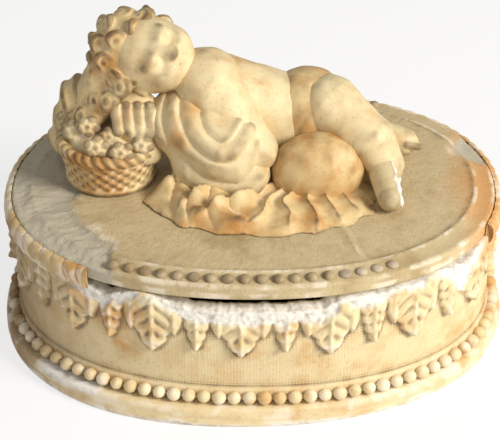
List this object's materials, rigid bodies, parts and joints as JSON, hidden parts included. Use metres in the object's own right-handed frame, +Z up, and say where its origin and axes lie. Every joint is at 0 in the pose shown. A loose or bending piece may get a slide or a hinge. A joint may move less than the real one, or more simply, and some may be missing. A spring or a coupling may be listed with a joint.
{
  "type": "jewellery box",
  "caption": "Oval moulded-plaster jewellery box with leaf frieze and bead string, and a lift-off lid carrying a reclining child figure, basket and drapery.",
  "frame": {"origin": "centre of the underside, on the surface that the box stands on", "axes": "+Z up, +X along the length towards the figure's feet, -Y towards the front"},
  "size_m": [0.1698, 0.1278, 0.108],
  "materials": {
    "cream_plaster": "worn cream coat over cast plaster, satin, grey dirt in recesses",
    "ochre_plaster": "ochre shellac stain over cast plaster, satin",
    "lid_ground": "grey-beige granular pounced ground, matt",
    "inner_plaster": "dark brown unfinished plaster, matt"
  },
  "bodies": {
    "base": {"plinth": "cream_plaster", "floor_plate": "inner_plaster", "base_wall": "cream_plaster", "bead_string": "cream_plaster", "leaf_frieze": "ochre_plaster", "rim_moulding": "ochre_plaster"},
    "lid": {"lid_plate": "lid_ground", "lid_bead_border": "cream_plaster", "basket": "ochre_plaster", "basket_flowers": "cream_plaster", "back_drapery": "ochre_plaster", "torso": "cream_plaster", "swag_drapery": "ochre_plaster", "hips": "ochre_plaster", "top_leg": "cream_plaster", "knee_leg": "ochre_plaster", "broken_foot": "cream_plaster", "far_foot": "cream_plaster", "upper_arm": "cream_plaster", "hand": "cream_plaster", "head": "cream_plaster", "hair": "ochre_plaster", "spread_drapery": "ochre_plaster"}
  },
  "joints": [
    {"name": "lid_lift", "type": "slide", "parent": "base", "child": "lid", "axis": [0, 0, 1], "range_m": [0, 0.06]}
  ]
}
